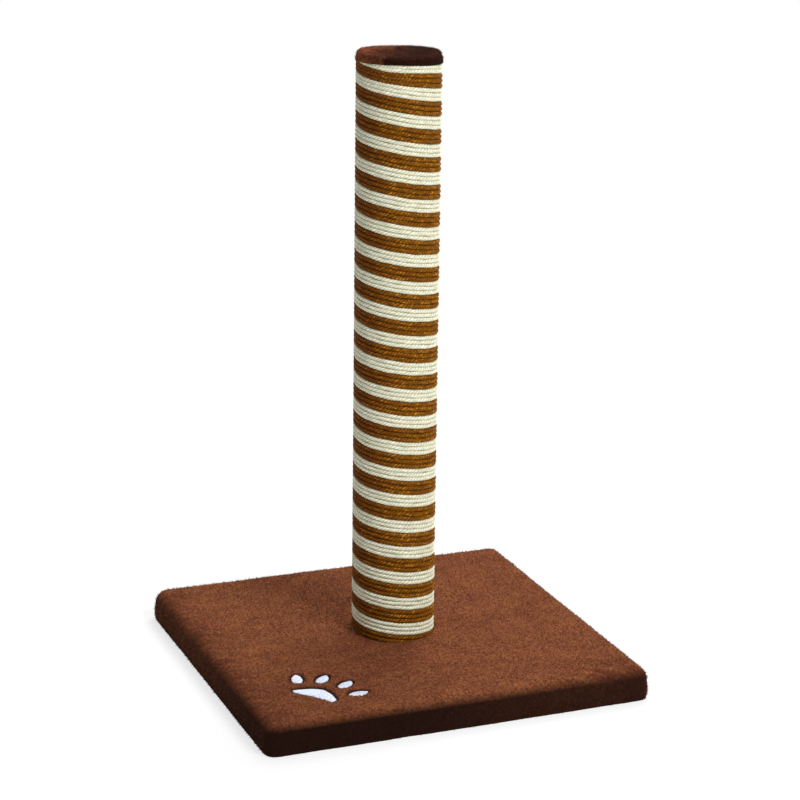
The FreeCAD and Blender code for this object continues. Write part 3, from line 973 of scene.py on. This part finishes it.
# %% Finish: sawn wood and kraft board
plug_wood, nodes = finish("plug wood", Roughness=0.72, Specular_IOR_Level=0.3)
place = nodes.place()
year_rings = nodes.add("ShaderNodeTexWave", {"wave_type": "RINGS", "rings_direction": "Y"}, {
    "Vector": nodes.vector("ADD", place, (0.03, 0.0, 0.4)), "Scale": 42.0, "Distortion": 3.0,
    "Detail": 2.0, "Detail Scale": 6.0})
pores = nodes.noise(nodes.vector("MULTIPLY", place, (1.0, 0.08, 1.0)), 900.0)
colour = nodes.blend(year_rings, (222, 192, 146), (188, 148, 98))
colour = nodes.blend(pores * 0.3, colour, (140, 104, 66))
nodes.paint(colour, year_rings * 0.4 + pores * 0.6, 0.2 * MM, 0.5)

kraft_board, nodes = finish("kraft board", Roughness=0.85, Specular_IOR_Level=0.2)
place = nodes.place()
pulp = nodes.noise(nodes.vector("MULTIPLY", place, (1.0, 1.0, 0.25)), 420.0, 3.0)
ply = nodes.add("ShaderNodeTexWave", {"wave_type": "BANDS", "bands_direction": "Z"}, {
    "Vector": place, "Scale": 3.0, "Distortion": 0.4})
colour = nodes.blend(pulp, (170, 138, 100), (134, 102, 70))
nodes.paint(nodes.blend(ply * 0.25, colour, (112, 84, 58)), pulp, 0.15 * MM, 0.5)

# %% Finish: zinc-plated steel
zinc_steel, nodes = finish("zinc steel", Metallic=1.0)
spangle = nodes.apart(nodes.add("ShaderNodeTexVoronoi", inputs={
    "Vector": nodes.place(), "Scale": 900.0}, output="Color"))[0]
smear = nodes.noise(nodes.place(), 130.0, 3.0)
colour = nodes.blend(smear.rising(0.35, 2.0), (186, 190, 194), (158, 160, 158))
nodes.paint(colour, spangle * 0.3 + smear, 0.05 * MM, 0.4,
            rough=0.28 + spangle * 0.12 + smear * 0.15)

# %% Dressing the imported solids
dress = {
    chipboard: ["base_board"], kraft_board: ["post_tube"],
    plug_wood: ["bottom_plug", "top_plug", "cap_disc"],
    zinc_steel: ["cover_staples", "post_bolt", "bolt_washer", "tee_nut",
                 "bottom_plug_staples", "top_plug_staples", "cap_staples"]}
for material, names in dress.items():
    for name in names:
        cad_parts[name].material_slots[0].material = material
print("dressed:", sum(len(names) for names in dress.values()), "solids")

# %% [markdown]
# ## Stray fibres
#
# New sisal sheds: fine hairs stick out of the winding all round. They are scattered on the
# ropes' own surface, each a short bent hair, more of them on the pale rope where they show.

# %% Tree: stray hairs on a rope
hair_tree, nodes, size = growing_tree("stray hairs", Object=["Rope"], Int=["Seed"], Float=[
    "Density", "Reach", "Length", "Thickness"])
x, y, z = nodes.apart(nodes.position())
outer = from_axis(x, y).above(size["Reach"])
between = z.below(post_top - 6 * MM) * z.above(cover_top + 4 * MM)
scatter = nodes.scattered(nodes.mesh_of(size["Rope"]), size["Density"] * outer * between,
                          size["Seed"])
bent = nodes.add("GeometryNodeCurveQuadraticBezier", inputs={
    "Resolution": 5, "Start": (0.0, 0.0, 0.0), "Middle": (0.25, 0.0, 0.55),
    "End": (1.0, 0.0, 0.3)})
hair = nodes.sweep(bent, nodes.circle(3, size["Thickness"] / size["Length"]))
about = nodes.together(0.0, 0.0, nodes.random(0.0, 6.283, size["Seed"]))
aimed = nodes.add("FunctionNodeRotateRotation", {"rotation_space": "LOCAL"}, {
    0: nodes.facing(scatter["Normal"]),
    1: nodes.add("FunctionNodeEulerToRotation", inputs={0: about})})
long = nodes.random(0.3, 1.0, size["Seed"] + 3.0) * size["Length"]
hairs = nodes.add("GeometryNodeInstanceOnPoints", inputs={
    0: scatter, "Instance": hair, "Rotation": aimed, "Scale": long})
close_tree(nodes, hairs, size)

# %% Stray hairs on both colours
for colour, material, density in (("cream", cream_sisal, 2600.0), ("brown", brown_sisal, 1500.0)):
    rope = next(piece for piece in rope_pieces if piece.name.startswith(colour + "_rope_2"))
    hairs = grow(f"{colour}_stray_hairs", hair_tree, {
        "Rope": rope, "Density": density, "Reach": rope_reach - 0.8 * MM, "Length": 7 * MM,
        "Thickness": 0.06 * MM, "Seed": 12, "Material": material})
    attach(hairs, "root")

# %% [markdown]
# ## Stage, light and camera
#
# A pale floor runs to a white surround. The floor is partly its own light for the camera
# alone, so it shows nearly white and still takes the post's shadow. The lamps stay at a
# plain level: a big soft one from the front right, and the white surround as fill.

# %% Floor and surround
WHITE = (1.0, 1.0, 1.0, 1.0)
FLOOR_HALF = 9


def seen_directly(nodes):
    """1 for rays from the camera, from a shiny surface and through glass."""
    rays = nodes.add("ShaderNodeLightPath")
    seen = rays["Is Camera Ray"].at_least(rays["Is Glossy Ray"])
    return seen.at_least(rays["Is Transmission Ray"])


floor_finish = bpy.data.materials.new("pale floor")
nodes = emptied(floor_finish)
matt = nodes.add("ShaderNodeBsdfDiffuse", inputs={"Color": nodes.together(
    *[0.86 + nodes.noise(nodes.place(), 60.0) * 0.04] * 3)})
glow = nodes.add("ShaderNodeEmission", inputs={"Color": WHITE, "Strength": 1.0})
away = nodes.vector("LENGTH", nodes.place(), output="Value")
lit = seen_directly(nodes) * (0.72 + away.rising(0.35, 0.6) * 0.28)
nodes.add("ShaderNodeOutputMaterial", inputs={
    "Surface": nodes.add("ShaderNodeMixShader", inputs={0: lit, 1: matt, 2: glow})})
floor_mesh = bpy.data.meshes.new("floor")
floor_mesh.from_pydata([(x * FLOOR_HALF, y * FLOOR_HALF, 0) for x, y in (
    (-1, -1), (1, -1), (1, 1), (-1, 1))], [], [(0, 1, 2, 3)])
floor_mesh.materials.append(floor_finish)
floor = new_object("floor", floor_mesh)

world = bpy.data.worlds.new("white surround")
bpy.context.scene.world = world
nodes = emptied(world)
background = nodes.add("ShaderNodeBackground", inputs={
    "Color": WHITE, "Strength": 0.42 + seen_directly(nodes) * 0.58})
nodes.add("ShaderNodeOutputWorld", inputs={"Surface": background})

# %% Lamps
def soft_lamp(name, place, aim, width, watts):
    """A square lamp that shines from a place to an aim."""
    lamp = new_object(name, bpy.data.lights.new(name, "AREA"))
    lamp.data.energy, lamp.data.size = watts, width
    lamp.location = place
    lamp.rotation_euler = (Vector(aim) - Vector(place)).to_track_quat("-Z", "Y").to_euler()


soft_lamp("key", place=(0.75, -2.1, 2.1), aim=(0, 0, 0.3), width=1.1, watts=62)
soft_lamp("top", place=(0.8, 1.0, 1.8), aim=(0, 0.1, 0), width=1.2, watts=36)

# %% Camera
AZIMUTH, ELEVATION, ROLL = -0.380082, 0.262053, 0.011870
AIM_HEIGHT, DISTANCE = 0.34694, 2.41231
LENS, SHIFT = 109.71, (0.00495, -0.0875)
aim = Vector((0, 0, AIM_HEIGHT))
back = Vector((math.sin(AZIMUTH) * math.cos(ELEVATION), -math.cos(AZIMUTH) * math.cos(ELEVATION),
               math.sin(ELEVATION)))
right = Vector((math.cos(AZIMUTH), math.sin(AZIMUTH), 0))
up = back.cross(right)
right, up = (math.cos(ROLL) * right + math.sin(ROLL) * up,
             math.cos(ROLL) * up - math.sin(ROLL) * right)
camera = new_object("camera", bpy.data.cameras.new("camera"))
camera.data.lens = LENS
camera.data.shift_x, camera.data.shift_y = SHIFT
camera.matrix_world = Matrix.Translation(aim + DISTANCE * back) @ Matrix(
    (right, up, back)).transposed().to_4x4()
bpy.context.scene.camera = camera
bpy.context.scene.view_settings.view_transform = "Standard"
